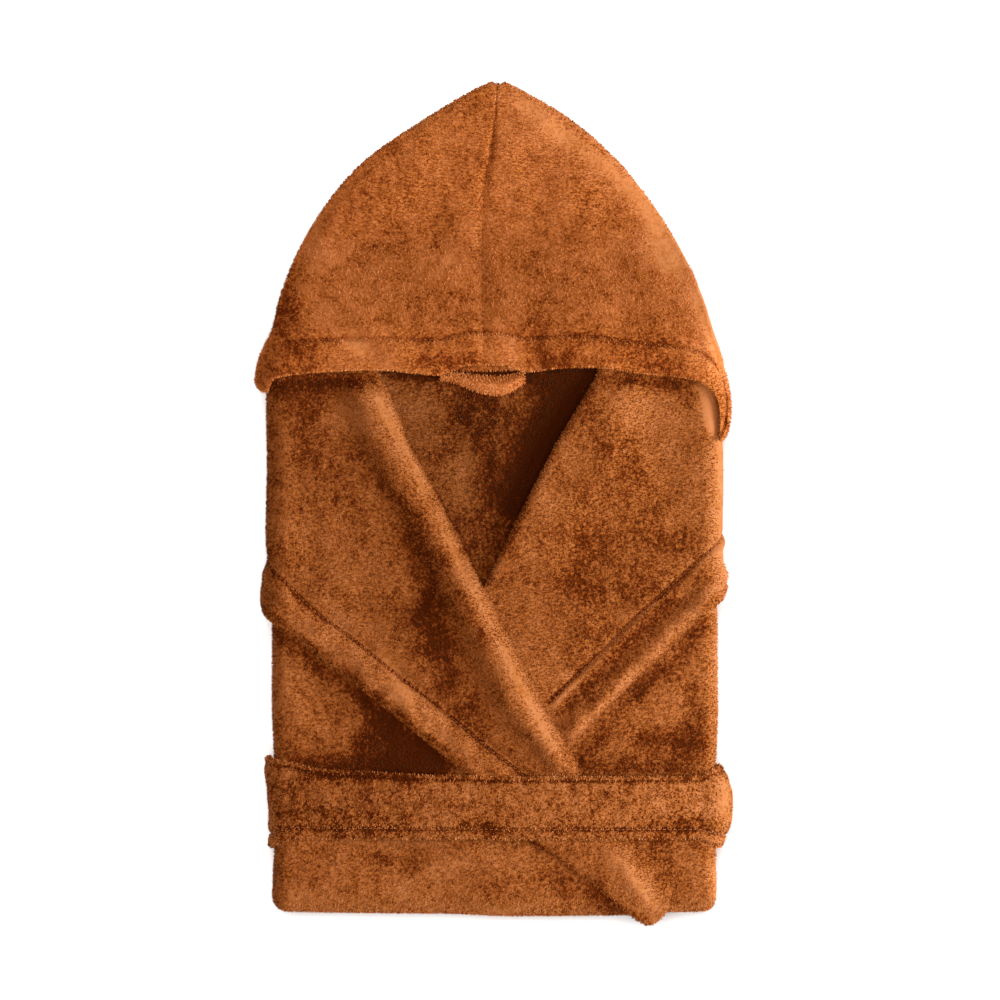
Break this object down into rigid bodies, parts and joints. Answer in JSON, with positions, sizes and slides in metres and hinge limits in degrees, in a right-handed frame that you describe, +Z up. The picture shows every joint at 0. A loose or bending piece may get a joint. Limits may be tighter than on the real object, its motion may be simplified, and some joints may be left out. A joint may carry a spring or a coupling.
{
  "type": "hooded bathrobe",
  "caption": "Hooded terry bathrobe with turned-back collars and a wrap belt, folded flat with the hood spread above.",
  "frame": {"origin": "on the shelf, under the middle of the folded robe's outline", "axes": "+Z up from the shelf, +Y towards the point of the hood, +X to the viewer's right when the front is seen with the hood at the top"},
  "size_m": [0.3808, 0.6756, 0.074],
  "materials": {
    "folded_layers": "matt terracotta terry",
    "back": "matt terracotta terry",
    "front_left": "matt terracotta terry",
    "front_right": "matt terracotta terry",
    "collar_left": "matt terracotta terry",
    "collar_right": "matt terracotta terry",
    "hood_left": "matt terracotta terry",
    "hood_right": "matt terracotta terry",
    "hang_loop": "matt terracotta terry",
    "belt": "matt terracotta terry",
    "belt_tail": "matt terracotta terry"
  },
  "bodies": {
    "root": {"folded_layers": "folded_layers", "back": "back", "front_left": "front_left", "front_right": "front_right", "collar_left": "collar_left", "collar_right": "collar_right", "hood_left": "hood_left", "hood_right": "hood_right", "hang_loop": "hang_loop", "belt": "belt", "belt_tail": "belt_tail"}
  },
  "joints": []
}
